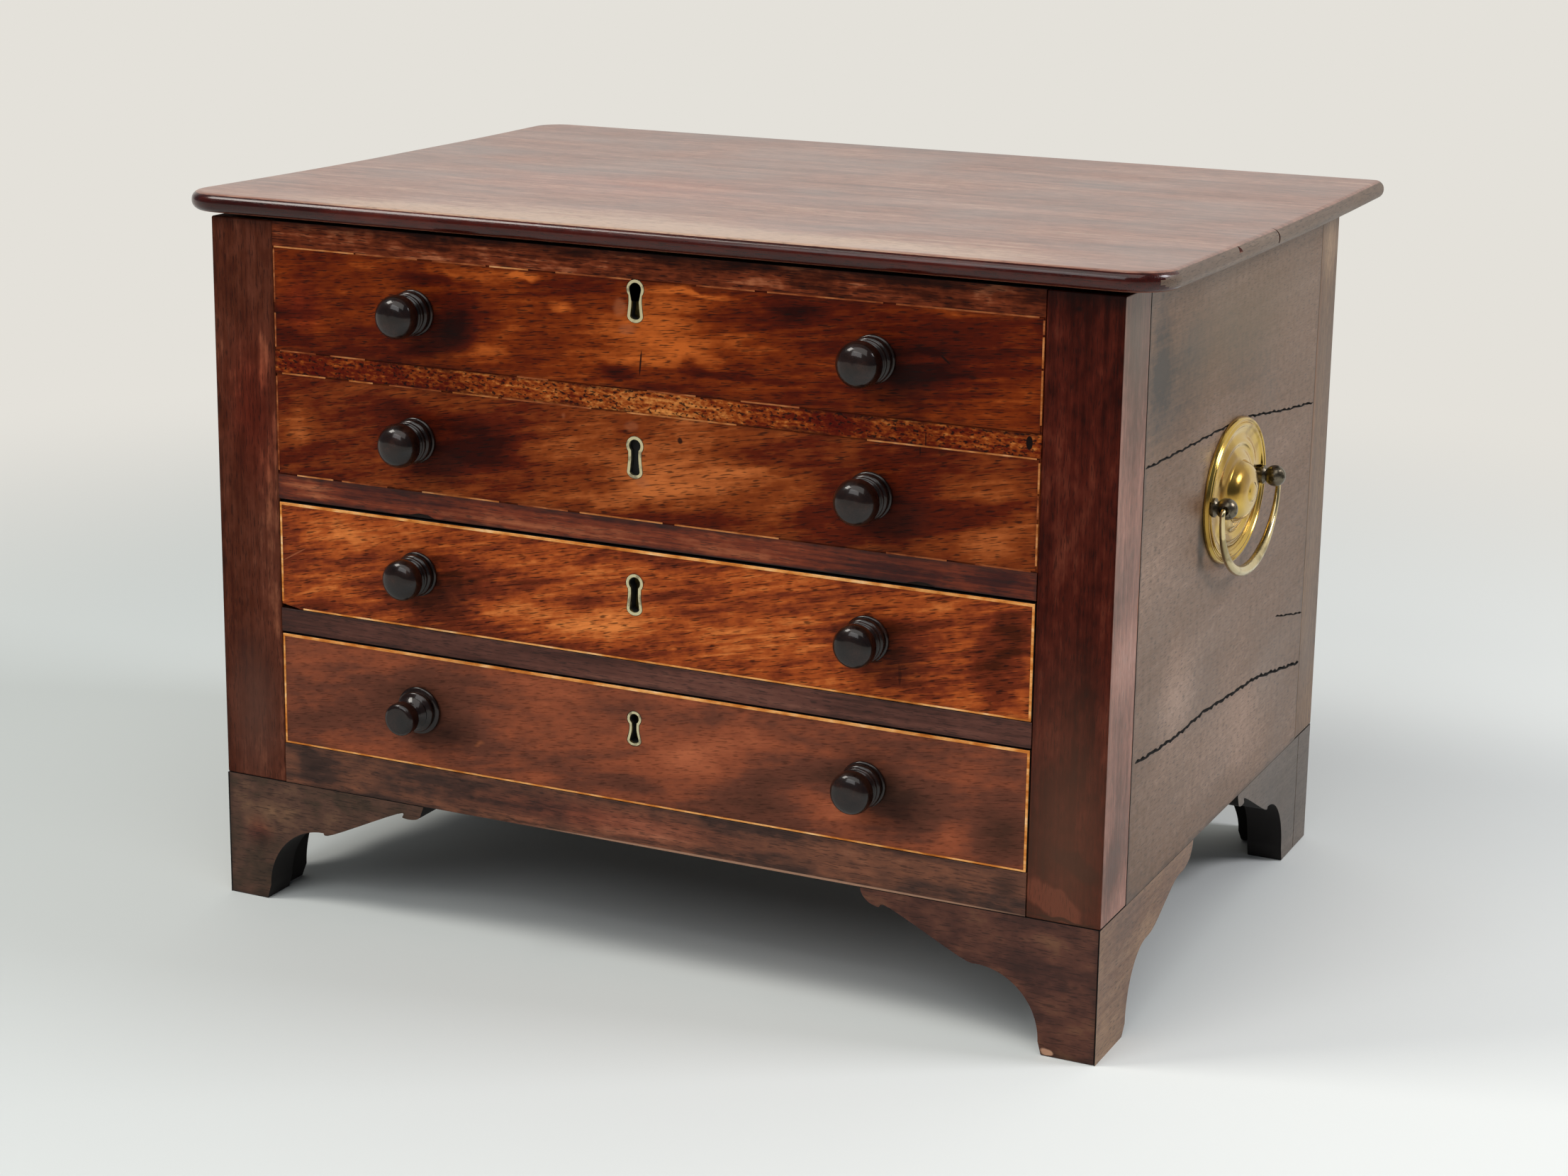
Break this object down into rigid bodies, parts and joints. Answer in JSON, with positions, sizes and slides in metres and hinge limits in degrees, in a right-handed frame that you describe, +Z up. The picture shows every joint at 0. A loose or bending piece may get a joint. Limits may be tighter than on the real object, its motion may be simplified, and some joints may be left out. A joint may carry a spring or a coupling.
{
  "type": "collectors chest",
  "caption": "Low mahogany table chest: hinged lid over a well behind sham drawer fronts, real drawers below, turned knobs, brass side handles and bracket feet.",
  "frame": {"origin": "on the floor under the middle of the whole object's outer box", "axes": "+X along the front towards its right end, +Y from the front to the back, +Z up"},
  "size_m": [0.486, 0.3662, 0.3458],
  "materials": {
    "mahogany_figured": "waxed, satin",
    "mahogany_frame": "waxed, satin",
    "mahogany_side": "waxed, satin",
    "mahogany_top": "polished, satin",
    "deal": "bare, matt",
    "ebonised_wood": "polished, glossy",
    "escutcheon_brass": "dull, worn",
    "brass": "pressed, half polished",
    "iron": "dark, oiled"
  },
  "bodies": {
    "carcass": {"left_front_post": "mahogany_frame", "right_front_post": "mahogany_frame", "left_rear_post": "mahogany_frame", "right_rear_post": "mahogany_frame", "left_side_panel": "mahogany_side", "right_side_panel": "mahogany_side", "left_upper_runner": "deal", "right_upper_runner": "deal", "back_panel": "deal", "well_front": "mahogany_figured", "well_floor": "deal", "drawer_rail": "mahogany_frame", "bottom_rail": "mahogany_frame", "bottom_board": "deal", "left_front_foot_front": "mahogany_frame", "left_front_foot_side": "mahogany_frame", "left_rear_foot_side": "mahogany_frame", "left_rear_foot_back": "deal", "right_front_foot_front": "mahogany_frame", "right_front_foot_side": "mahogany_frame", "right_rear_foot_side": "mahogany_frame", "right_rear_foot_back": "deal", "upper_sham_left_knob": "ebonised_wood", "upper_sham_right_knob": "ebonised_wood", "upper_sham_escutcheon": "escutcheon_brass", "lower_sham_left_knob": "ebonised_wood", "lower_sham_right_knob": "ebonised_wood", "lower_sham_escutcheon": "escutcheon_brass", "left_handle_plate": "brass", "right_handle_plate": "brass", "left_hinge_case_leaf": "brass", "right_hinge_case_leaf": "brass", "lid_lock_case": "brass"},
    "lid": {"lid_board": "mahogany_top", "lid_link_plate": "brass", "left_hinge_lid_leaf": "brass", "right_hinge_lid_leaf": "brass"},
    "upper_drawer": {"upper_drawer_front": "mahogany_figured", "upper_drawer_left_side": "deal", "upper_drawer_right_side": "deal", "upper_drawer_back": "deal", "upper_drawer_bottom": "deal", "upper_drawer_lock_case": "brass", "upper_drawer_left_knob": "ebonised_wood", "upper_drawer_right_knob": "ebonised_wood", "upper_drawer_escutcheon": "escutcheon_brass"},
    "lower_drawer": {"lower_drawer_front": "mahogany_figured", "lower_drawer_left_side": "deal", "lower_drawer_right_side": "deal", "lower_drawer_back": "deal", "lower_drawer_bottom": "deal", "lower_drawer_lock_case": "brass", "lower_drawer_left_knob": "ebonised_wood", "lower_drawer_right_knob": "ebonised_wood", "lower_drawer_escutcheon": "escutcheon_brass"},
    "left_handle_bail": {"left_handle_bail": "brass"},
    "right_handle_bail": {"right_handle_bail": "brass"},
    "lid_lock_bolt": {"lid_lock_bolt": "iron"},
    "upper_drawer_lock_bolt": {"upper_drawer_lock_bolt": "iron"},
    "lower_drawer_lock_bolt": {"lower_drawer_lock_bolt": "iron"}
  },
  "joints": [
    {"name": "lid_hinge", "type": "hinge", "parent": "carcass", "child": "lid", "pos_m": [0, 0.1685, 0.3358], "axis": [-1, 0, 0], "range_deg": [0, 105]},
    {"name": "upper_drawer_slide", "type": "slide", "parent": "carcass", "child": "upper_drawer", "axis": [0, -1, 0], "range_m": [0, 0.2]},
    {"name": "lower_drawer_slide", "type": "slide", "parent": "carcass", "child": "lower_drawer", "axis": [0, -1, 0], "range_m": [0, 0.2]},
    {"name": "right_bail_swing", "type": "hinge", "parent": "carcass", "child": "right_handle_bail", "pos_m": [0.234, 0.0021, 0.221], "axis": [0, -1, 0], "range_deg": [0, 170]},
    {"name": "left_bail_swing", "type": "hinge", "parent": "carcass", "child": "left_handle_bail", "pos_m": [-0.234, 0.0021, 0.221], "axis": [0, 1, 0], "range_deg": [0, 170]},
    {"name": "lid_lock_throw", "type": "slide", "parent": "carcass", "child": "lid_lock_bolt", "axis": [1, 0, 0], "range_m": [0, 0.004]},
    {"name": "upper_drawer_lock_throw", "type": "slide", "parent": "upper_drawer", "child": "upper_drawer_lock_bolt", "axis": [0, 0, 1], "range_m": [0, 0.004]},
    {"name": "lower_drawer_lock_throw", "type": "slide", "parent": "lower_drawer", "child": "lower_drawer_lock_bolt", "axis": [0, 0, 1], "range_m": [0, 0.004]}
  ]
}
